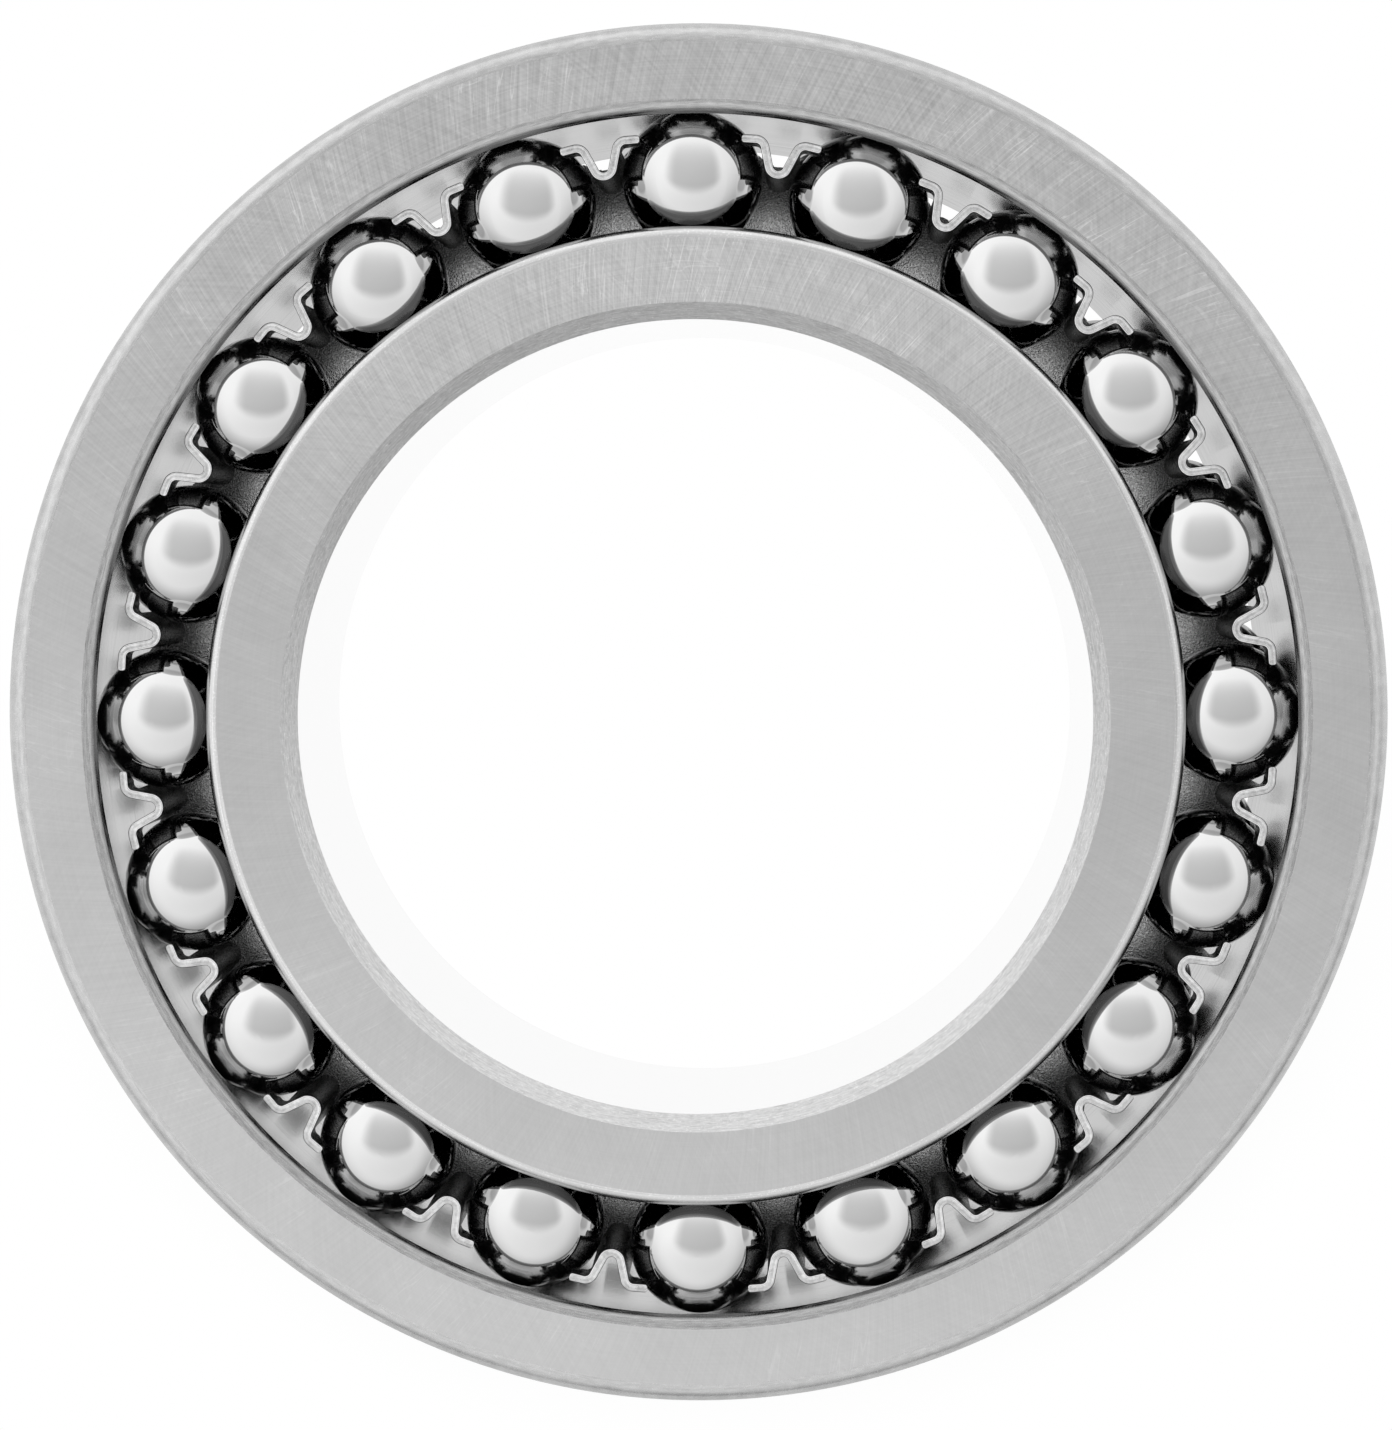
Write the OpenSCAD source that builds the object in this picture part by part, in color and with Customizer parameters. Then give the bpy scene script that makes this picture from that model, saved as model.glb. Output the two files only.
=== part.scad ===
// Double-row self-aligning ball bearing, 75 x 130 x 31 mm.
// The axis is +Z and the origin is the centre of the bearing, where its swivel axes cross.
// Twenty balls a row run in two grooves of the inner ring and on one spherical raceway of the
// outer ring. Each row has its own cage, pressed from sheet: a flat disc at the middle of the
// bearing, with a V-shaped tongue between every two balls.

/* [Boundary sizes] */
// Bore of the inner ring
bore_d = 75; // [70:0.5:78]
// Outside diameter of the outer ring
outside_d = 130; // [126:0.5:140]
// Width of both rings
ring_width = 31; // [31:0.5:36]

/* [Rows of balls] */
// Diameter of a ball
ball_d = 13.3; // [12.4:0.1:13.6]
// Balls in each row
balls_per_row = 20; // [16:1:20]
// How far the circle through the ball centres lies inside the middle of the rings' section
pitch_inset = 0.25; // [-0.5:0.05:0.75]
// Distance between the planes of the two rows
row_spacing = 17; // [16.4:0.2:17.4]
// Angle from +Y to the first ball of the front row, clockwise from the front
front_row_angle = -0.35; // [-9:0.05:9]
// Angle by which the rear row is turned against the front row, clockwise
rear_row_lag = -2.8; // [-9:0.1:9]
// Running clearance between a ball and either raceway
raceway_clearance = 0.05; // [0.02:0.01:0.08]
// Groove radius as a share of the ball diameter
groove_conformity = 0.52; // [0.515:0.005:0.54]

/* [Edges of the rings] */
// Corner radius on the outside of the outer ring
outside_corner = 1.9; // [0.8:0.1:2.5]
// Radius between the outer ring's faces and its raceway
raceway_edge = 1.25; // [0.6:0.05:1.6]
// Angle by which that radius stops short of upright, where it meets the raceway
raceway_edge_stop = 12; // [8:1:30]
// Radial distance from the ball centres in to the shoulders of the inner ring
shoulder_inset = 4.85; // [4.5:0.05:5.5]
// Radius of the polished edge on the inner ring's shoulders
shoulder_edge = 1.15; // [0.5:0.05:1.5]
// Chamfer at each end of the bore
bore_chamfer = 1.5; // [0.6:0.1:2]

/* [Cages] */
// Thickness of the cage sheet
sheet = 0.7; // [0.5:0.05:0.8]
// Gap between the discs of the two cages
cage_gap = 0.3; // [0.2:0.05:0.6]
// Radial gap between the inner ring's shoulder and a cage disc
disc_bore_gap = 0.45; // [0.3:0.05:0.8]
// Radial width of a cage disc between two tongues
disc_rim = 4.3; // [3.6:0.1:4.8]
// Radial height of a tongue's V, measured along the middle of the sheet
vee_height = 3; // [2.4:0.05:3.2]
// Radial distance from the ball centres out to the sheet's middle at the foot of the V
vee_foot_offset = 0.55; // [0.4:0.05:1]
// Half angle of the V
vee_half_angle = 20; // [14:1:24]
// Bend radius at the foot of the V, at the middle of the sheet
vee_foot_bend = 0.9; // [0.7:0.05:1.1]
// Bend radius where the V turns into its wings, at the middle of the sheet
wing_bend = 0.9; // [0.6:0.05:1]
// Radial distance from the foot of the V out to the disc's edge between its flanks
disc_reach = 2.1; // [1.5:0.1:2.2]
// Radial height of a tongue's neck, the V without its wings, between the disc and the wings
neck_height = 2.3; // [2.25:0.05:2.6]
// Width of the disc's lobe at the root of a tongue
lobe_width = 5.6; // [4:0.1:7]
// Distance over the tips of a tongue's two wings
wing_span = 7.2; // [6.8:0.1:8.2]
// Axial height of the wings, which hold the balls at the tongue's end
wing_height = 3; // [2:0.1:4]
// Slope angle of the wings towards the balls
wing_slope_angle = 5; // [0:1:12]
// Depth of the tongue ends below the ring faces
tongue_depth = 2.1; // [2:0.1:4]
// Clearance between a ball and its pocket
pocket_clearance = 0.15; // [0.1:0.05:0.3]

/* [Hidden] */
$fn = 96;
bore_r = bore_d / 2;
outside_r = outside_d / 2;
ball_r = ball_d / 2;
pitch_r = (bore_r + outside_r) / 2 - pitch_inset;
shoulder_r = pitch_r - shoulder_inset;
face_z = ring_width / 2;
row_z = row_spacing / 2;
ball_step = 360 / balls_per_row;
// A ball touches both raceways on the line from the bearing's centre through its own
centre_reach = sqrt(pitch_r * pitch_r + row_z * row_z);
contact_angle = atan2(row_z, pitch_r);
raceway_r = centre_reach + ball_r + raceway_clearance;
groove_r = groove_conformity * ball_d;
groove_reach = centre_reach - ball_r - raceway_clearance + groove_r;
// The radius between a face and the raceway ends on the raceway at this height
raceway_end_z = face_z - raceway_edge * (1 - sin(raceway_edge_stop));
raceway_end_r = sqrt(raceway_r * raceway_r - raceway_end_z * raceway_end_z);
raceway_edge_r = raceway_end_r - raceway_edge * (1 - cos(raceway_edge_stop));
// The cage disc
disc_z = cage_gap / 2;
disc_bore_r = shoulder_r + disc_bore_gap;
disc_r = disc_bore_r + disc_rim;
// A tongue's section: the middle of the sheet turns from crosswise into the flank, and over into the wing
foot_y = pitch_r + vee_foot_offset;
flank_rise = 90 - vee_half_angle;
flank_length = (vee_height - (vee_foot_bend + wing_bend) * (1 - cos(flank_rise))) / sin(flank_rise);
flank_start = [0, vee_foot_bend] + vee_foot_bend * [sin(flank_rise), -cos(flank_rise)];
flank_end = flank_start + flank_length * [cos(flank_rise), sin(flank_rise)];
wing_centre = flank_end + wing_bend * [sin(flank_rise), -cos(flank_rise)];
wing_start = wing_centre + wing_bend * [sin(wing_slope_angle), cos(wing_slope_angle)];
wing_length = (wing_span / 2 - wing_start.x) / cos(wing_slope_angle);
tongue_top = face_z - tongue_depth;

function two_digits(i) = str(i < 10 ? "0" : "", i);
function row_names(row) = [for (i = [1 : balls_per_row]) str("ball_", row, "_", two_digits(i))];

// What a convex corner of this radius loses: the corner points to +x and +y, at the origin
module corner_loss(radius) {
    difference() {
        translate([-radius, -radius]) square(2 * radius);
        translate([-radius, -radius]) circle(radius);
    }
}

// A half section's cut at one end, and the same cut at the other
module both_ends() {
    children();
    mirror([0, 1]) children();
}

module outer_ring() {
    color([0.74, 0.74, 0.75])
    rotate_extrude($fn = 240)
    difference() {
        translate([0, -face_z]) square([outside_r, ring_width]);
        circle(raceway_r, $fn = 240);
        both_ends() {
            translate([outside_r, face_z]) corner_loss(outside_corner);
            translate([raceway_edge_r, face_z]) mirror([1, 0]) corner_loss(raceway_edge);
        }
    }
}

module inner_ring() {
    color([0.74, 0.74, 0.75])
    rotate_extrude($fn = 240)
    difference() {
        translate([bore_r, -face_z]) square([shoulder_r - bore_r, ring_width]);
        both_ends() {
            rotate(contact_angle) translate([groove_reach, 0]) circle(groove_r, $fn = 120);
            translate([shoulder_r, face_z]) corner_loss(shoulder_edge);
            translate([bore_r, face_z]) rotate(45) square(bore_chamfer * sqrt(2), center = true);
        }
    }
}

// A flat piece of sheet that heads for +x from the origin, and what follows at its end
module flat(length) {
    translate([0, -sheet / 2]) square([length, sheet]);
    translate([length, 0]) children();
}

// What ties the two sides of a joint between a bend and a flat, within the sheet
module joint_tie() {
    square(sheet / 2, center = true);
}

// A piece of sheet that turns by an angle, to the left where the angle is positive, and what follows
module bend(radius, turn) {
    reach = radius + sheet;
    centre_y = sign(turn) * radius;
    joint_tie();
    translate([0, centre_y]) intersection() {
        difference() {
            circle(radius + sheet / 2);
            circle(radius - sheet / 2);
        }
        translate([0, -reach]) square([reach, 2 * reach]);
        rotate(turn) translate([-reach, -reach]) square([reach, 2 * reach]);
    }
    translate([0, centre_y]) rotate(turn) translate([0, -centre_y]) {
        joint_tie();
        children();
    }
}

module tongue_section() {
    for (side = [0, 1])
        mirror([side, 0]) translate([0, foot_y])
        bend(vee_foot_bend, flank_rise)
        flat(flank_length)
        bend(wing_bend, -flank_rise - wing_slope_angle)
        flat(wing_length);
}

// The part of the disc that carries a tongue. It ends straight across the V, from the middle of one
// flank's sheet to the other's
module disc_lobe() {
    flank_x = flank_start.x + (disc_reach - flank_start.y) / tan(flank_rise);
    polygon([
        [-flank_x, foot_y + disc_reach],
        [flank_x, foot_y + disc_reach],
        [lobe_width / 2, disc_r - sheet],
        [-lobe_width / 2, disc_r - sheet]
    ]);
}

// The ball of the front row at an angle clockwise from +Y
module ball_at(angle, radius) {
    rotate(-angle) translate([0, pitch_r, row_z]) sphere(radius);
}

// A tongue lies half a step past its ball. Only its end has wings: below them it is cut to its neck
module tongue() {
    difference() {
        translate([0, 0, disc_z]) linear_extrude(tongue_top - disc_z) tongue_section();
        translate([-wing_span, foot_y + neck_height, 0])
            cube([2 * wing_span, vee_height, tongue_top - wing_height]);
        ball_at(-ball_step / 2, ball_r + pocket_clearance);
        ball_at(ball_step / 2, ball_r + pocket_clearance);
    }
}

// One cage as the front row has it
module cage() {
    translate([0, 0, disc_z]) linear_extrude(sheet)
    difference() {
        union() {
            circle(disc_r, $fn = 240);
            for (i = [0 : balls_per_row - 1]) rotate(-(i + 0.5) * ball_step) disc_lobe();
        }
        circle(disc_bore_r, $fn = 240);
    }
    for (i = [0 : balls_per_row - 1]) rotate(-(i + 0.5) * ball_step) tongue();
}

// The rear row is the front row mirrored in the middle plane and turned by its lag
module rear_row() {
    mirror([0, 0, 1]) rotate(-front_row_angle - rear_row_lag) children();
}

module cage_front() {
    color([0.62, 0.62, 0.63]) rotate(-front_row_angle) cage();
}

module cage_rear() {
    color([0.62, 0.62, 0.63]) rear_row() cage();
}

module ball_front(i) {
    color([0.85, 0.85, 0.87]) rotate(-front_row_angle) ball_at((i - 1) * ball_step, ball_r);
}

module ball_rear(i) {
    color([0.85, 0.85, 0.87]) rear_row() ball_at((i - 1) * ball_step, ball_r);
}

outer_ring();
inner_ring();
cage_front();
cage_rear();
for (i = [1 : balls_per_row]) {
    ball_front(i);
    ball_rear(i);
}
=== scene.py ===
import math

import bmesh
import bpy
from mathutils import Matrix, Vector, noise


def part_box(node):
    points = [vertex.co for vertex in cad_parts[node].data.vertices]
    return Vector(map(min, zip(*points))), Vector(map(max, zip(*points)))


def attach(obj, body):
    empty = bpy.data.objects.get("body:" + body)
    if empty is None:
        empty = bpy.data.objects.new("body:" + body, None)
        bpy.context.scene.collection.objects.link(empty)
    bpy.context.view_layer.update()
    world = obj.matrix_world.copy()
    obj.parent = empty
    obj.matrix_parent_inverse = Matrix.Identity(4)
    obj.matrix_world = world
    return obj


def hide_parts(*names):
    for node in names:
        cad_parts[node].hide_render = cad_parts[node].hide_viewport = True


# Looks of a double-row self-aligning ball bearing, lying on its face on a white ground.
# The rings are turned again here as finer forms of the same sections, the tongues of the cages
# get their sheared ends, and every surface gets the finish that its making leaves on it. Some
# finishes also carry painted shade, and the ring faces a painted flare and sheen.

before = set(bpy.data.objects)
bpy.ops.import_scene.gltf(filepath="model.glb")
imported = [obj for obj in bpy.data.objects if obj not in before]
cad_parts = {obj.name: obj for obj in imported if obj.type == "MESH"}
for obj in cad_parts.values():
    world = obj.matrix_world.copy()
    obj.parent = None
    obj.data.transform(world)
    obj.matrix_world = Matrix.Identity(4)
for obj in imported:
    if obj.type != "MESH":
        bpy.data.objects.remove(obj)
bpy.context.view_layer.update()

MM = 0.001
MICRON = 0.000001

# Sizes read from the frame
_, outer_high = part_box("outer_ring")
_, inner_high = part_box("inner_ring")
_, cage_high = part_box("cage_front")
ball_low, ball_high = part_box("ball_front_01")
OUTSIDE_R = outer_high.x
FACE_Z = outer_high.z
SHOULDER_R = inner_high.x
TONGUE_TOP = cage_high.z
BALL_R = (ball_high.z - ball_low.z) / 2
BALL_CENTRE = (ball_low + ball_high) / 2
PITCH_R = math.hypot(BALL_CENTRE.x, BALL_CENTRE.y)
ROW_Z = BALL_CENTRE.z

# Sizes of the rings' sections, as in the part's source. Angles are in degrees, but the contact
# angle is in radians
BORE_R = 37.5 * MM
RACEWAY_CLEARANCE = 0.05 * MM
GROOVE_CONFORMITY = 0.52
OUTSIDE_CORNER = 1.9 * MM
RACEWAY_EDGE = 1.25 * MM
RACEWAY_EDGE_STOP = 12
SHOULDER_EDGE = 1.15 * MM
BORE_CHAMFER = 1.5 * MM
CENTRE_REACH = math.hypot(PITCH_R, ROW_Z)
CONTACT_ANGLE = math.atan2(ROW_Z, PITCH_R)
RACEWAY_R = CENTRE_REACH + BALL_R + RACEWAY_CLEARANCE
GROOVE_R = GROOVE_CONFORMITY * 2 * BALL_R
GROOVE_REACH = CENTRE_REACH - BALL_R - RACEWAY_CLEARANCE + GROOVE_R

# Sizes of the cages' tongues and the places of the rows, as in the part's source
BALLS_PER_ROW = 20
FRONT_ROW_ANGLE = -0.35
REAR_ROW_LAG = -2.8
FOOT_Y = PITCH_R + 0.55 * MM
VEE_HEIGHT = 3 * MM
VEE_HALF_ANGLE = 20
VEE_BEND = 0.9 * MM
WING_SLOPE = 5
WING_REACH = 3.6 * MM

# The section of a tongue's end, from one side of the sheet to its middle: shares of half its
# width, and heights over the tongue in millimetres
END_HALF_WIDTH = 0.4 * MM
END_SECTION = [
    (1, -0.3), (1, -0.02), (0.9, 0.06), (0.8, 0.1),
    (0.68, 0.11), (0.5, 0.09), (0.25, 0.05), (0, 0.04),
]
# The rounding of an end at its tips: how far it starts before the wing's tip, and its length
TIP_START = 0.2 * MM
TIP_LENGTH = 0.35 * MM
# The unevenness that the tearing leaves: its height, and its changes for each metre and each tongue
TEAR_HEIGHT = 0.015 * MM
TEARS_PER_METRE = 1500
TEARS_PER_TONGUE = 7.3

# A disc shoulder's outline on one side of its tongue, in millimetres across and out from the axis,
# and the heights of its faces, which lie inside the disc's
SHOULDER_OUTLINE = [(3.05, 50.2), (3.05, 54.35), (2.35, 54.5), (1.75, 54.1), (1.4, 53.63)]
SHOULDER_FACES = (0.17 * MM, 0.83 * MM)

# How many steps a form is made in
STEPS_AROUND = 360
RACEWAY_STEPS = 24
GROOVE_STEPS = 40
CORNER_STEPS = 12
EDGE_STEPS = 8
FLANK_STEPS = 3
WING_STEPS = 2
BEND_STEPS = 9
TIP_STEPS = 8

# The camera, fitted to the circles and balls of the photograph
PHOTO_HEIGHT = 1430
FOCAL_PIXELS = 3326.4
CAMERA_PLACE = Vector((10.69, 15.93, 326.87)) * MM
CAMERA_AIM = Vector((-0.27, -0.33, 0)) * MM
SENSOR_HEIGHT = 24
NEAREST_SEEN, FARTHEST_SEEN = 0.01, 20

# How bright the white tent round the bearing is, and the colours of its light and of the paper
SKY = 1.2
WHITE = (1, 1, 1, 1)
PAPER = (0.85, 0.85, 0.85, 1)

# The floor, and its zones by distance from the axis: where each starts, is full, still is, and ends
FLOOR_REACH = 3.0
UNDER_ZONE = (0.043, 0.047, 0.066, 0.1)
FOCUS_ZONE = (0.0475, 0.05, 0.057, 0.0585)
BEFORE_ZONE = (0.06, 0.066, 0.4, 1.2)
SHADE_ZONE = (0.06, 0.062, 0.064, 0.08)

# The card round the lens, and how far it is behind the lens. Its darker patch lies off to the
# right of the lens, and sags at its sides
CARD_REACH = 0.6
CARD_LOW_Y, CARD_HIGH_Y = -0.5, 0.9
CARD_SETBACK = 0.02
PATCH_OFFSET = 0.03
PATCH_SAG = 0.9

# The ways that a level sheet can face, as the order of its corners
UP, DOWN = (0, 1, 2, 3), (0, 3, 2, 1)


class Signal:
    """A node's socket. Plain arithmetic on signals adds Math nodes."""

    def __init__(self, recipe, socket):
        self.recipe = recipe
        self.socket = socket

    def _math(self, operation, first, second):
        return self.recipe.node("Math", {"operation": operation}, {0: first, 1: second})

    def __add__(self, other):
        return self._math("ADD", self, other)

    __radd__ = __add__

    def __sub__(self, other):
        return self._math("SUBTRACT", self, other)

    def __rsub__(self, other):
        return self._math("SUBTRACT", other, self)

    def __mul__(self, other):
        return self._math("MULTIPLY", self, other)

    def __truediv__(self, other):
        return self._math("DIVIDE", self, other)


class Recipe:
    """A node tree, written one node at a time."""

    def __init__(self, node_tree):
        node_tree.nodes.clear()
        self.nodes = node_tree.nodes
        self.links = node_tree.links

    def node(self, kind, settings=None, inputs=None, output=0):
        made = self.nodes.new("ShaderNode" + kind)
        for name, value in (settings or {}).items():
            setattr(made, name, value)
        for key, value in (inputs or {}).items():
            if isinstance(value, Signal):
                self.links.new(value.socket, made.inputs[key])
            else:
                made.inputs[key].default_value = value
        if made.outputs:
            return Signal(self, made.outputs[output])
        return None

    def position(self):
        return self.node("TexCoord", output="Object")

    def part(self, vector, axis):
        return self.node("SeparateXYZ", inputs={0: vector}, output=axis)

    def vector(self, x, y, z):
        return self.node("CombineXYZ", inputs={0: x, 1: y, 2: z})

    def noise(self, vector, detail=2.0, rough=0.5, scale=1.0):
        inputs = {"Vector": vector, "Scale": scale, "Detail": detail, "Roughness": rough}
        return self.node("TexNoise", inputs=inputs)

    def rise(self, value, low, high):
        """0 below low, 1 above high, and smooth between."""
        inputs = {"Value": value, "From Min": low, "From Max": high}
        return self.node("MapRange", {"interpolation_type": "SMOOTHSTEP"}, inputs)

    def zone(self, value, start, full, still, end):
        """0 up to start, 1 from full to still, 0 again from end, and smooth between."""
        return self.rise(value, start, full) * (1 - self.rise(value, still, end))

    def absolute(self, value):
        return self.node("Math", {"operation": "ABSOLUTE"}, {0: value})

    def length(self, vector):
        return self.node("VectorMath", {"operation": "LENGTH"}, {0: vector}, "Value")

    def radius(self):
        """The distance from the bearing's axis."""
        position = self.position()
        return self.length(self.vector(self.part(position, 0), self.part(position, 1), 0.0))

    def near_face(self, deep, shallow):
        """0 deeper than deep below the nearer face, 1 above shallow, and smooth between."""
        height = self.absolute(self.part(self.position(), 2))
        return self.rise(height, FACE_Z - deep, FACE_Z - shallow)

    def hairlines(self, value, width):
        """1 on the thin lines where a noise passes its middle, and 0 off them."""
        return 1 - self.rise(self.absolute(value - 0.5), 0.0, width)

    def between(self, share, first, second):
        """The first value where share is 0, the second where it is 1."""
        return first + share * (second - first)


def new_material(name):
    """An empty material, and the recipe that fills it."""
    material = bpy.data.materials.new(name)
    material.use_nodes = True
    return material, Recipe(material.node_tree)


def metal(name, recipe_of, lined=0.0):
    """A steel. recipe_of gives its grey, its roughness, and the height of its surface in metres.
    Lined is how much more it blurs across the lines round it than along them."""
    material, recipe = new_material(name)
    grey, roughness, height = recipe_of(recipe)
    inputs = {"Base Color": grey, "Roughness": roughness, "Metallic": 1.0}
    inputs |= {"Anisotropic": lined, "Anisotropic Rotation": 0.25}
    if height is not None:
        relief = {"Strength": 1.0, "Distance": 1.0, "Height": height}
        inputs["Normal"] = recipe.node("Bump", inputs=relief)
    shader = recipe.node("BsdfPrincipled", inputs=inputs)
    recipe.node("OutputMaterial", inputs={"Surface": shader})
    return material


def drawn_noise(recipe, around, across, slant=0.0, seed=0.0, detail=2.0):
    """Noise drawn out along rings round the axis: around is its changes for each radian, and across
    for each metre. Slant turns its lines out of the round, in radians for each metre of radius."""
    radius = recipe.radius()
    height = recipe.part(recipe.position(), 2)
    turn = {"Vector": recipe.position(), "Angle": radius * slant}
    turned = recipe.node("VectorRotate", {"rotation_type": "Z_AXIS"}, turn)
    return recipe.noise(
        recipe.vector(
            recipe.part(turned, 0) / radius * around,
            recipe.part(turned, 1) / radius * around,
            (radius + height) * across + seed,
        ),
        detail,
    )


def honing(recipe):
    """The fine lines that honing leaves round a raceway."""
    return drawn_noise(recipe, 5, 4200, detail=3.0)


def grinding(recipe):
    """The short lines that grinding leaves round a cylinder."""
    return drawn_noise(recipe, 26, 7000, detail=3.0)


def speckle(recipe):
    """The specks on a turned or honed edge."""
    return recipe.noise(recipe.position(), 2.0, 0.6, 5200.0)


def ground_face(recipe):
    """A face ground flat: a fan of fine scratches over slow clouds, painted clearer on the upper side as
    a flare, where the inner ring's face also gets a painted sheen.
    """
    # The upper side, towards the light: the mask of the painted flare and sheen
    lit_top = recipe.rise(recipe.part(recipe.position(), 1) / recipe.radius(), 0.2, 0.95)
    hatch = drawn_noise(recipe, 230, 130, slant=5.0, detail=3.0)
    cross = drawn_noise(recipe, 150, 300, slant=-14.0, seed=7.0, detail=3.0)
    rings = drawn_noise(recipe, 9, 5200, seed=3.0)
    cloud = recipe.noise(recipe.position(), 3.0, 0.55, 90.0)
    worn = recipe.rise(cloud, 0.42, 0.62)
    scratches = recipe.hairlines(drawn_noise(recipe, 90, 90, slant=6.0, seed=11.0, detail=1.0), 0.02)
    strokes = recipe.hairlines(drawn_noise(recipe, 8, 500, slant=-9.0, seed=19.0, detail=1.0), 0.008)
    lines = hatch * 0.45 + cross * 0.3 + rings * 0.25
    hair = (scratches + strokes * 0.5) * worn
    # Painted sheen: the inner ring's face is painted lighter on its upper side
    inner_ring = 1 - recipe.rise(recipe.radius(), 46 * MM, 55 * MM)
    painted_sheen = inner_ring * lit_top * 0.07
    # The scratches are real, and a painted flare makes them stronger on the upper side
    marks = (lines - 0.5) * (0.2 + lit_top * 0.5) + hair * (0.05 + lit_top * 0.12)
    grey = 0.57 + marks + (cloud - 0.5) * 0.08 + painted_sheen
    roughness = 0.34 + (cloud - 0.5) * 0.1 + (hatch - 0.5) * 0.14
    return grey, roughness, lines * (3 * MICRON)


def turned(grey, streaks, speck, rough, tool_marks, shaded=0.0):
    """The recipe of a turned edge: tool marks round the ring, dashes along them, and small specks.
    It darkens over a depth below the face, where one is given."""

    def finish(recipe):
        rings = drawn_noise(recipe, 14, 6500, detail=3.0)
        dashes = drawn_noise(recipe, 60, 5200, seed=5.0, detail=3.0)
        dark_lines = recipe.hairlines(drawn_noise(recipe, 7, 2600, seed=9.0), 0.03)
        specks = speckle(recipe)
        pale = recipe.rise(specks, 0.56, 0.72)
        tone = (rings - 0.5) * 1.1 + (dashes - 0.5) * 1.4 - dark_lines * 0.22
        shade = recipe.between(recipe.near_face(shaded, 0), 0.36, 1.0) if shaded else 1.0
        return (
            (grey + tone * streaks + pale * speck) * shade,
            rough + (rings - 0.5) * 0.2 + pale * 0.1,
            rings * tool_marks + specks * (2 * MICRON),
        )

    return finish


def honed_raceway(recipe):
    """The spherical raceway: nearly a mirror, with fine lines round it."""
    rings = honing(recipe)
    fine = drawn_noise(recipe, 7, 11000, seed=4.0, detail=3.0)
    lines = recipe.hairlines(drawn_noise(recipe, 1.5, 1500, seed=21.0, detail=1.0), 0.02)
    grey = 0.7 + (rings - 0.5) * 0.16 + (fine - 0.5) * 0.12 - lines * 0.12
    roughness = 0.13 + (rings - 0.5) * 0.05
    return grey, roughness, rings * (2 * MICRON) + fine * (3 * MICRON)


def honed_groove(recipe):
    """The ball grooves of the inner ring, darker than the outer raceway."""
    rings = honing(recipe)
    grey = 0.4 + (rings - 0.5) * 0.1
    roughness = 0.1 + (rings - 0.5) * 0.05
    return grey, roughness, rings * (0.15 * MICRON)


def honed_land(recipe):
    """The narrow land over the groove, in the shadow of the shoulder's edge."""
    rings = honing(recipe)
    grey = 0.1 + (rings - 0.5) * 0.06
    roughness = 0.16 + (rings - 0.5) * 0.05
    return grey, roughness, rings * MICRON


def honed_edge(recipe):
    """The polished shoulder edge of the inner ring, which darkens downwards."""
    rings = drawn_noise(recipe, 6, 9000, detail=3.0)
    shade = recipe.between(recipe.near_face(1 * MM, 0.2 * MM), 0.26, 1.0)
    pale = recipe.rise(speckle(recipe), 0.54, 0.7)
    grey = (0.64 + (rings - 0.5) * 0.4 + pale * 0.12) * shade
    roughness = 0.24 + (rings - 0.5) * 0.16
    return grey, roughness, rings * (2 * MICRON)


def ground_bore(recipe):
    """The bore, ground bright."""
    rings = grinding(recipe)
    grey = 0.93 + (rings - 0.5) * 0.06
    roughness = 0.1 + (rings - 0.5) * 0.06
    return grey, roughness, rings * (0.3 * MICRON)


def ground_cylinder(recipe):
    """The outside and the rib, ground round."""
    rings = grinding(recipe)
    cloud = recipe.noise(recipe.position(), 3.0, 0.55, 120.0)
    grey = 0.76 + (rings - 0.5) * 0.14 + (cloud - 0.5) * 0.05
    roughness = 0.26 + (rings - 0.5) * 0.12
    return grey, roughness, rings * (1.5 * MICRON)


def bright_ball(recipe):
    """A lapped and polished ball, with the faintest haze."""
    haze = recipe.noise(recipe.position(), 4.0, 0.6, 240.0)
    grey = 0.68 + (haze - 0.5) * 0.03
    roughness = 0.035 + recipe.rise(haze, 0.55, 0.8) * 0.04
    return grey, roughness, None


def pressed_sheet(recipe):
    """The cages' sheet, finely pebbled, and painted darker outwards as shade under the balls."""
    inputs = {"Vector": recipe.position(), "Scale": 7000.0}
    pebble = recipe.node("TexVoronoi", inputs=inputs, output="Distance")
    grain = recipe.noise(recipe.position(), 3.0, 0.6, 4600.0)
    # Painted shade: the sheet is painted darker from the inner ring out to under the balls
    painted_shade_outward = recipe.rise(recipe.radius(), 47 * MM, 51 * MM)
    speck = recipe.rise(grain, 0.52, 0.66)
    grey = recipe.between(painted_shade_outward, 0.85, 0.16) * (0.5 + grain * 0.8 + speck * 0.8)
    roughness = 0.28 + (grain - 0.5) * 0.2
    return grey, roughness, pebble * (25 * MICRON) + grain * (16 * MICRON)


def sheared_end(recipe):
    """The end of a tongue: bright rims, between them the torn grey middle, and painted shade on the sides.
    """
    upright = recipe.part(recipe.node("NewGeometry", output="Normal"), 2)
    torn = recipe.rise(upright, 0.9, 0.985)
    # Painted shade: only faces that look up keep their grey, and the steep sides are painted nearly black
    lit_top = recipe.rise(upright, 0.5, 0.75)
    mottle = recipe.noise(recipe.position(), 4.0, 0.65, 1900.0)
    grain = recipe.noise(recipe.position(), 3.0, 0.6, 6000.0)
    grey = 0.04 + lit_top * (0.94 - torn * 0.36 + (mottle - 0.5) * 0.9 * (0.3 + torn * 0.7))
    roughness = 0.3 + (grain - 0.5) * 0.2
    return grey, roughness, mottle * (12 * MICRON) + grain * (5 * MICRON)


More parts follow.
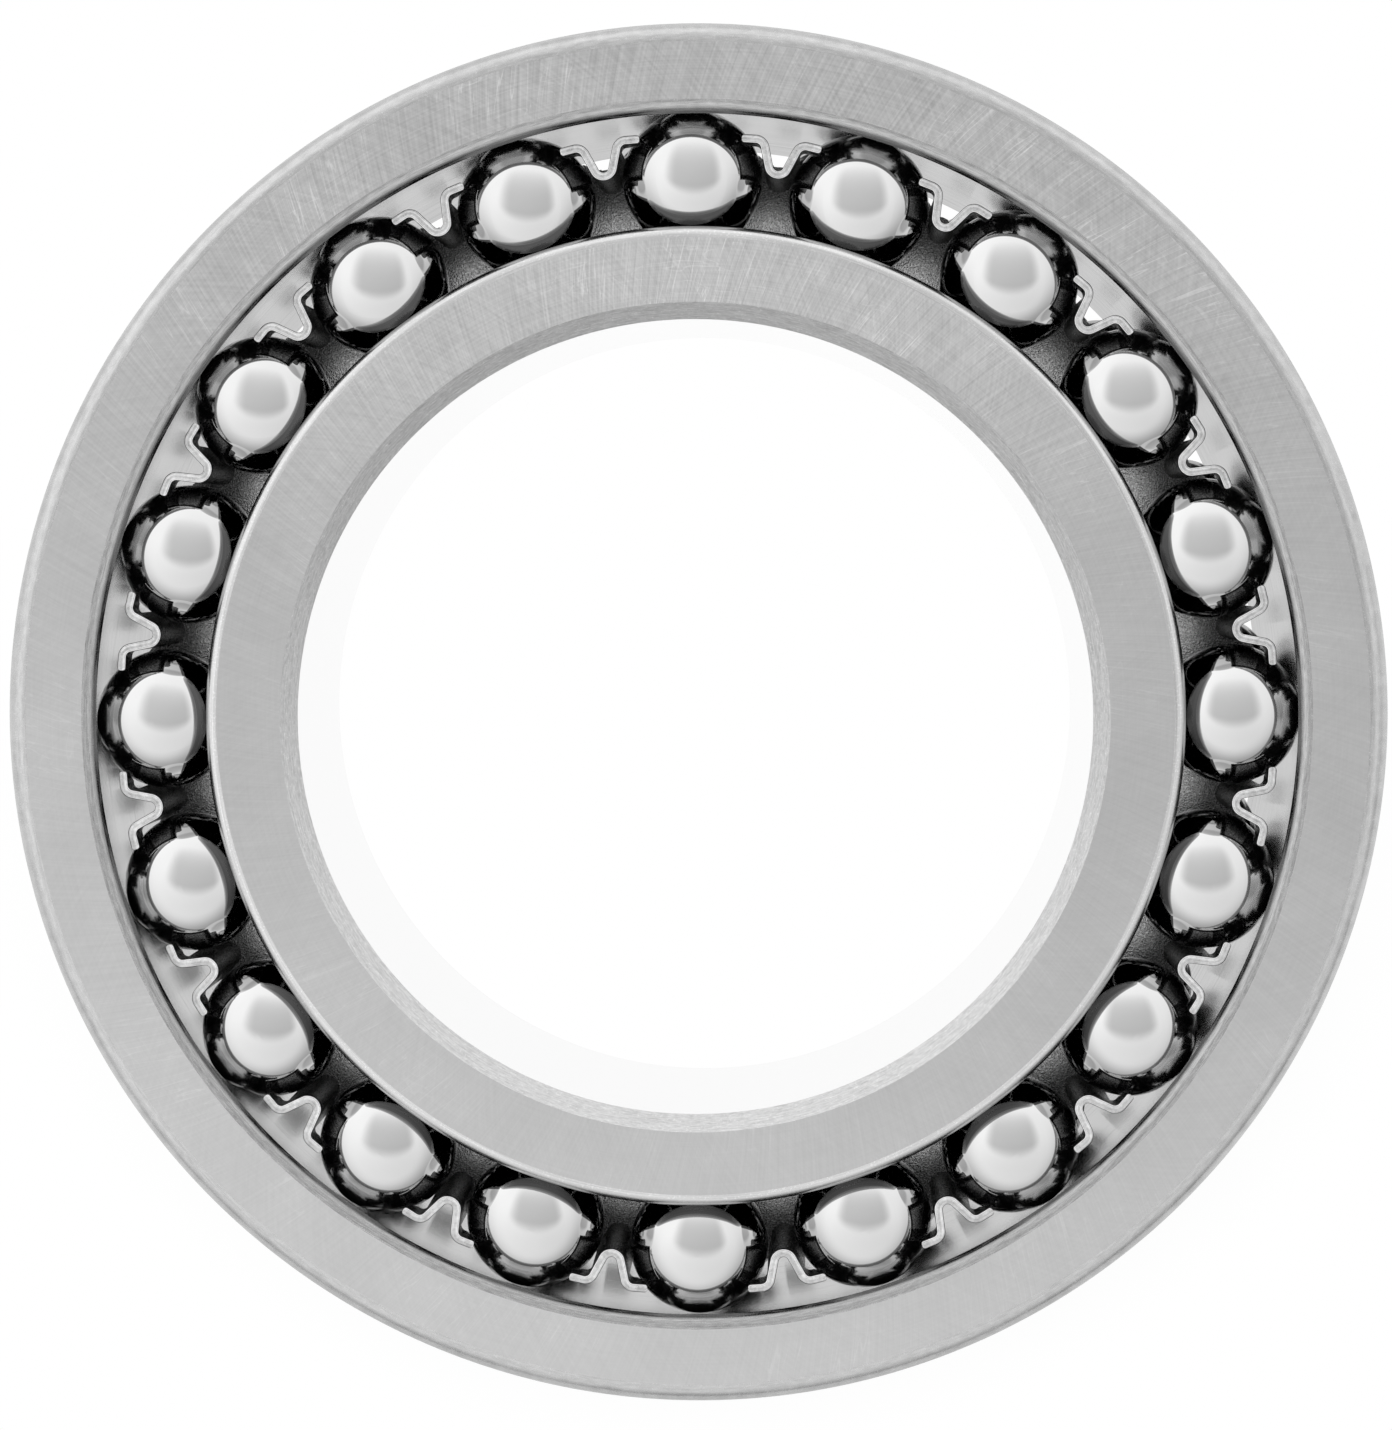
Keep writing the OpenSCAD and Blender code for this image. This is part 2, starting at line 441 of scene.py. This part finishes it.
RECIPES = {
    "ground_face": ground_face,
    "turned_corner": turned(0.54, 0.16, 0.08, 0.26, 4 * MICRON),
    "turned_mouth": turned(0.5, 0.28, 0.06, 0.24, 6 * MICRON, shaded=0.7 * MM),
    "turned_chamfer": turned(0.63, 0.28, 0.14, 0.36, 6 * MICRON),
    "honed_raceway": honed_raceway,
    "honed_land": honed_land,
    "honed_groove": honed_groove,
    "honed_edge": honed_edge,
    "ground_bore": ground_bore,
    "ground_cylinder": ground_cylinder,
    "bright_ball": bright_ball,
    "pressed_sheet": pressed_sheet,
    "sheared_end": sheared_end,
}
LINED = {"honed_raceway": 0.85}
FINISHES = {name: metal(name, recipe_of, LINED.get(name, 0.0)) for name, recipe_of in RECIPES.items()}


def skin(mesh, here, there):
    """The faces between two closed loops of as many vertices."""
    faces = []
    for i in range(len(here)):
        j = (i + 1) % len(here)
        faces.append(mesh.faces.new((here[i], here[j], there[j], there[i])))
    return faces


def piece_of(name, mesh, finishes):
    """The piece that a finished mesh becomes. Its faces count its finishes from 0."""
    bmesh.ops.recalc_face_normals(mesh, faces=mesh.faces)
    data = bpy.data.meshes.new(name)
    mesh.to_mesh(data)
    mesh.free()
    for finish in finishes:
        data.materials.append(FINISHES[finish])
    piece = bpy.data.objects.new(name, data)
    bpy.context.scene.collection.objects.link(piece)
    return piece


def arc(centre, radius, start, end, steps):
    """Points in the section plane, as (distance from the axis, height)."""
    points = []
    for i in range(steps + 1):
        angle = math.radians(start + (end - start) * i / steps)
        points.append((centre[0] + radius * math.cos(angle), centre[1] + radius * math.sin(angle)))
    return points


def mirrored(spans):
    """The lower half of a section: the upper half's spans, from the last to the first."""
    return [(finish, [(r, -z) for r, z in reversed(points)]) for finish, points in reversed(spans)]


def turned_ring(name, spans):
    """A ring turned from a closed section. A span is a finish and the points it runs over, and the
    edges between spans stay crisp."""
    finishes = sorted({finish for finish, _ in spans})
    section = []
    for finish, points in spans:
        for i, point in enumerate(points[:-1]):
            section.append((point, finishes.index(finish), i == 0))
    mesh = bmesh.new()
    loops = []
    for k in range(STEPS_AROUND):
        angle = 2 * math.pi * k / STEPS_AROUND
        x, y = math.cos(angle), math.sin(angle)
        loops.append([mesh.verts.new((r * x, r * y, z)) for (r, z), _, _ in section])
    for k, here in enumerate(loops):
        there = loops[(k + 1) % STEPS_AROUND]
        for i, face in enumerate(skin(mesh, here, there)):
            _, slot, crisp = section[i]
            face.material_index = slot
            face.smooth = True
            if crisp:
                mesh.edges.get((here[i], there[i])).smooth = False
    return piece_of(name, mesh, finishes)


def make_outer_ring():
    """The outer ring, whose section starts at the raceway's middle and runs up first."""
    stop = math.radians(RACEWAY_EDGE_STOP)
    end_z = FACE_Z - RACEWAY_EDGE * (1 - math.sin(stop))
    edge_r = math.sqrt(RACEWAY_R**2 - end_z**2) - RACEWAY_EDGE * (1 - math.cos(stop))
    end_angle = math.degrees(math.asin(end_z / RACEWAY_R))
    raceway = arc((0, 0), RACEWAY_R, 0, end_angle, RACEWAY_STEPS)
    edge_centre = (edge_r + RACEWAY_EDGE, FACE_Z - RACEWAY_EDGE)
    inner_edge = arc(edge_centre, RACEWAY_EDGE, 180 - RACEWAY_EDGE_STOP, 90, EDGE_STEPS)
    inner_edge[0] = raceway[-1]
    corner_centre = (OUTSIDE_R - OUTSIDE_CORNER, FACE_Z - OUTSIDE_CORNER)
    corner = arc(corner_centre, OUTSIDE_CORNER, 90, 0, CORNER_STEPS)
    upper = [
        ("honed_raceway", raceway),
        ("turned_mouth", inner_edge),
        ("ground_face", [inner_edge[-1], corner[0]]),
        ("turned_corner", corner),
        ("ground_cylinder", [corner[-1], (OUTSIDE_R, 0)]),
    ]
    ring = turned_ring("outer_ring_turned", upper + mirrored(upper))
    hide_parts("outer_ring")
    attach(ring, "outer_ring")


def make_inner_ring():
    """The inner ring, whose section starts at the rib's middle and runs up first."""
    groove_centre = (GROOVE_REACH * math.cos(CONTACT_ANGLE), GROOVE_REACH * math.sin(CONTACT_ANGLE))
    shoulder_side = math.degrees(math.acos((SHOULDER_R - groove_centre[0]) / GROOVE_R))
    groove = arc(groove_centre, GROOVE_R, 360 - shoulder_side, shoulder_side, GROOVE_STEPS)
    edge_centre = (SHOULDER_R - SHOULDER_EDGE, FACE_Z - SHOULDER_EDGE)
    edge = arc(edge_centre, SHOULDER_EDGE, 0, 90, EDGE_STEPS)
    chamfer = [(BORE_R + BORE_CHAMFER, FACE_Z), (BORE_R, FACE_Z - BORE_CHAMFER)]
    upper = [
        ("ground_cylinder", [(SHOULDER_R, 0), groove[0]]),
        ("honed_groove", groove),
        ("honed_land", [groove[-1], edge[0]]),
        ("honed_edge", edge),
        ("ground_face", [edge[-1], chamfer[0]]),
        ("turned_chamfer", chamfer),
        ("ground_bore", [chamfer[-1], (BORE_R, 0)]),
    ]
    ring = turned_ring("inner_ring_turned", upper + mirrored(upper))
    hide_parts("inner_ring")
    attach(ring, "inner_ring")


def dress(prefix, finish):
    """Gives a finish to the CAD nodes whose names start with the prefix."""
    for name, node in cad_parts.items():
        if name.startswith(prefix):
            node.data.materials.clear()
            node.data.materials.append(FINISHES[finish])


def half_tongue():
    """The middle of the sheet along half a tongue, from its foot to where its tip's rounding starts:
    points across and out from the foot, with the direction that the sheet heads in, in degrees."""
    rise = 90 - VEE_HALF_ANGLE
    turn = math.radians(rise)
    flank = (VEE_HEIGHT - 2 * VEE_BEND * (1 - math.cos(turn))) / math.sin(turn)
    path = []
    for i in range(BEND_STEPS + 1):
        heading = rise * i / BEND_STEPS
        angle = math.radians(heading)
        path.append((VEE_BEND * math.sin(angle), VEE_BEND * (1 - math.cos(angle)), heading))
    low_x, low_y, _ = path[-1]
    high_x, high_y = low_x + flank * math.cos(turn), low_y + flank * math.sin(turn)
    for i in range(1, FLANK_STEPS):
        share = i / FLANK_STEPS
        path.append((low_x + (high_x - low_x) * share, low_y + (high_y - low_y) * share, rise))
    centre_x, centre_y = high_x + VEE_BEND * math.sin(turn), high_y - VEE_BEND * math.cos(turn)
    for i in range(BEND_STEPS + 1):
        heading = rise - (rise + WING_SLOPE) * i / BEND_STEPS
        angle = math.radians(heading)
        path.append((centre_x - VEE_BEND * math.sin(angle), centre_y + VEE_BEND * math.cos(angle), heading))
    x, y, heading = path[-1]
    slope = math.tan(math.radians(heading))
    wing = WING_REACH - TIP_START - x
    for i in range(1, WING_STEPS + 1):
        path.append((x + wing * i / WING_STEPS, y + wing * i / WING_STEPS * slope, heading))
    return path


def tongue_stations():
    """Where the cross-sections of a tongue's end stand, from wing tip to wing tip: across, out, the
    sheet's heading, and the share of its full width."""
    path = half_tongue()
    x, y, heading = path[-1]
    angle = math.radians(heading)
    tip = []
    for i in range(1, TIP_STEPS):
        along = math.sin(math.radians(90 * i / TIP_STEPS))
        width = (1 - along**3) ** (1 / 3)
        reach = TIP_LENGTH * along
        tip.append((x + reach * math.cos(angle), y + reach * math.sin(angle), heading, width))
    right = [(x, y, heading, 1.0) for x, y, heading in path] + tip
    left = [(-x, y, -heading, width) for x, y, heading, width in right[1:]]
    return list(reversed(left)) + right


def end_section(width):
    """A tongue end's cross-section at a share of its full width: rounded rims and a hollow middle."""
    height = 0.4 + 0.6 * width
    half = END_HALF_WIDTH * width
    right = [(half * u, h * MM * (height if h > 0 else 1)) for u, h in END_SECTION]
    return right + [(-u, h) for u, h in reversed(right[:-1])]


def tongue_places(row):
    """Matrices that put a tongue's frame, out along +Y, at its places in a row."""
    step = 360 / BALLS_PER_ROW
    first = FRONT_ROW_ANGLE + (REAR_ROW_LAG if row == "rear" else 0)
    turned_over = Matrix.Diagonal((1, 1, -1 if row == "rear" else 1, 1))
    return [
        Matrix.Rotation(math.radians(-(first + (i + 0.5) * step)), 4, "Z") @ turned_over
        for i in range(BALLS_PER_ROW)
    ]


def add_tongue_end(mesh, stations, place, number):
    """One rounded end, swept along its stations. The tearing makes its height uneven."""
    loops = []
    for x, y, heading, width in stations:
        angle = math.radians(heading)
        loop = []
        for u, h in end_section(width):
            at = Vector((x - u * math.sin(angle), FOOT_Y + y + u * math.cos(angle), TONGUE_TOP + h))
            if h > 0:
                tear = (at.x * TEARS_PER_METRE, at.y * TEARS_PER_METRE, number * TEARS_PER_TONGUE)
                at.z += TEAR_HEIGHT * noise.noise(Vector(tear))
            loop.append(mesh.verts.new(place @ at))
        loops.append(loop)
    for here, there in zip(loops, loops[1:]):
        for face in skin(mesh, here, there):
            face.smooth = True
    mesh.faces.new(loops[0])
    mesh.faces.new(list(reversed(loops[-1])))


def make_tongue_ends():
    """The sheared ends of the tongues, one piece for each cage."""
    stations = tongue_stations()
    for row in ("front", "rear"):
        mesh = bmesh.new()
        for number, place in enumerate(tongue_places(row)):
            add_tongue_end(mesh, stations, place, number)
        ends = piece_of(f"tongue_ends_{row}", mesh, ["sheared_end"])
        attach(ends, f"cage_{row}")


def make_disc_shoulders():
    """The wide shoulders of the front disc, under the wings of each tongue. They end along the flanks."""
    outline = SHOULDER_OUTLINE + [(-x, y) for x, y in reversed(SHOULDER_OUTLINE)]
    mesh = bmesh.new()
    for place in tongue_places("front"):
        low, high = [
            [mesh.verts.new(place @ Vector((x * MM, y * MM, z))) for x, y in outline]
            for z in SHOULDER_FACES
        ]
        mesh.faces.new(low)
        mesh.faces.new(high)
        skin(mesh, low, high)
    shoulders = piece_of("disc_shoulders", mesh, ["pressed_sheet"])
    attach(shoulders, "cage_front")


def level_sheet(name, reach_x, low_y, high_y, z, facing, material):
    """A level rectangle for the stage round the bearing, which isn't part of the bearing."""
    data = bpy.data.meshes.new(name)
    corners = [(-reach_x, low_y, z), (reach_x, low_y, z), (reach_x, high_y, z), (-reach_x, high_y, z)]
    data.from_pydata(corners, [], [facing])
    data.materials.append(material)
    sheet = bpy.data.objects.new(name, data)
    bpy.context.scene.collection.objects.link(sheet)
    return sheet


def make_floor():
    """The ground. The camera sees it white, with a faint shade at the bearing's lower edge. The steel
    mirrors it white too, but for plain paper, which is darker, under the bearing and before it."""
    material, recipe = new_material("white_ground")
    paper = recipe.node("BsdfDiffuse", inputs={"Color": PAPER})
    white = recipe.node("Emission", inputs={"Color": WHITE, "Strength": 1.0})
    seen = recipe.node("LightPath", output="Is Camera Ray")
    mirrored_ray = recipe.node("LightPath", output="Is Glossy Ray")
    through = recipe.node("LightPath", output="Is Transmission Ray")
    y = recipe.part(recipe.position(), 1)
    radius = recipe.radius()
    under = recipe.zone(radius, *UNDER_ZONE)
    focus = recipe.zone(radius, *FOCUS_ZONE)
    before = recipe.zone(radius, *BEFORE_ZONE) * (1 - recipe.rise(y / radius, -0.95, -0.55))
    shade = recipe.zone(radius, *SHADE_ZONE) * (1 - recipe.rise(y, -0.06, 0.02))
    unlit = recipe.node("Math", {"operation": "MAXIMUM"}, {0: under * (1 - focus * 0.78), 1: before})
    share = seen * (1 - shade * 0.1) + mirrored_ray * (1 - unlit) + through * (1 - unlit)
    surface = recipe.node("MixShader", inputs={0: share, 1: paper, 2: white})
    recipe.node("OutputMaterial", inputs={"Surface": surface})
    floor = level_sheet("floor", FLOOR_REACH, -FLOOR_REACH, FLOOR_REACH, -FACE_Z, UP, material)


def tent_light(recipe, direction):
    """The white tent's light by direction: dimmer towards the front, and most so low down."""
    x = recipe.part(direction, 0)
    y = recipe.part(direction, 1)
    high = recipe.between(recipe.rise(y, -0.7, 0.5), 0.86, 1.04)
    low = recipe.between(recipe.rise(y, -1.0, 0.9), 0.4, 1.1)
    height = recipe.rise(recipe.part(direction, 2), 0.05, 0.62)
    return (recipe.between(height, low, high) - x * 0.1) * SKY


def make_card():
    """The grey card round the lens, which the balls mirror. The camera doesn't see it."""
    material, recipe = new_material("lens_card")
    position = recipe.position()
    x = recipe.absolute(recipe.part(position, 0) - CAMERA_PLACE.x - PATCH_OFFSET)
    y = recipe.part(position, 1) - CAMERA_PLACE.y - x * x * PATCH_SAG
    across = 1 - recipe.rise(x, 0.19, 0.42)
    low_edge = recipe.rise(y, -0.18, -0.04)
    high_edge = 1 - recipe.rise(y, 0.05, 0.7)
    patch = across * low_edge * high_edge
    direction = recipe.node("VectorMath", {"operation": "NORMALIZE"}, {0: position})
    strength = tent_light(recipe, direction) * (1 - patch * 0.38)
    emission = recipe.node("Emission", inputs={"Color": WHITE, "Strength": strength})
    recipe.node("OutputMaterial", inputs={"Surface": emission})
    card_z = CAMERA_PLACE.z + CARD_SETBACK
    card = level_sheet("lens_card", CARD_REACH, CARD_LOW_Y, CARD_HIGH_Y, card_z, DOWN, material)
    card.visible_camera = False


def make_world():
    """The tent's light from all round. The camera sees plain white."""
    world = bpy.data.worlds.new("studio")
    world.use_nodes = True
    recipe = Recipe(world.node_tree)
    light = tent_light(recipe, recipe.node("TexCoord", output="Generated"))
    seen = recipe.node("LightPath", output="Is Camera Ray")
    strength = recipe.between(seen, light, 1.0)
    background = recipe.node("Background", inputs={"Color": WHITE, "Strength": strength})
    recipe.node("OutputWorld", inputs={"Surface": background})
    bpy.context.scene.world = world


def make_camera():
    """The camera of the photograph, with +Y up."""
    data = bpy.data.cameras.new("camera")
    data.sensor_fit = "VERTICAL"
    data.sensor_height = SENSOR_HEIGHT
    data.lens = data.sensor_height * FOCAL_PIXELS / PHOTO_HEIGHT
    data.clip_start = NEAREST_SEEN
    data.clip_end = FARTHEST_SEEN
    camera = bpy.data.objects.new("camera", data)
    bpy.context.scene.collection.objects.link(camera)
    back = (CAMERA_PLACE - CAMERA_AIM).normalized()
    right = Vector((0, 1, 0)).cross(back).normalized()
    up = back.cross(right)
    turn = Matrix((right, up, back)).transposed().to_4x4()
    camera.matrix_world = Matrix.Translation(CAMERA_PLACE) @ turn
    bpy.context.scene.camera = camera


make_outer_ring()
make_inner_ring()
dress("ball_", "bright_ball")
dress("cage_", "pressed_sheet")
make_tongue_ends()
make_disc_shoulders()
make_floor()
make_card()
make_world()
make_camera()
bpy.context.scene.view_settings.view_transform = "Standard"
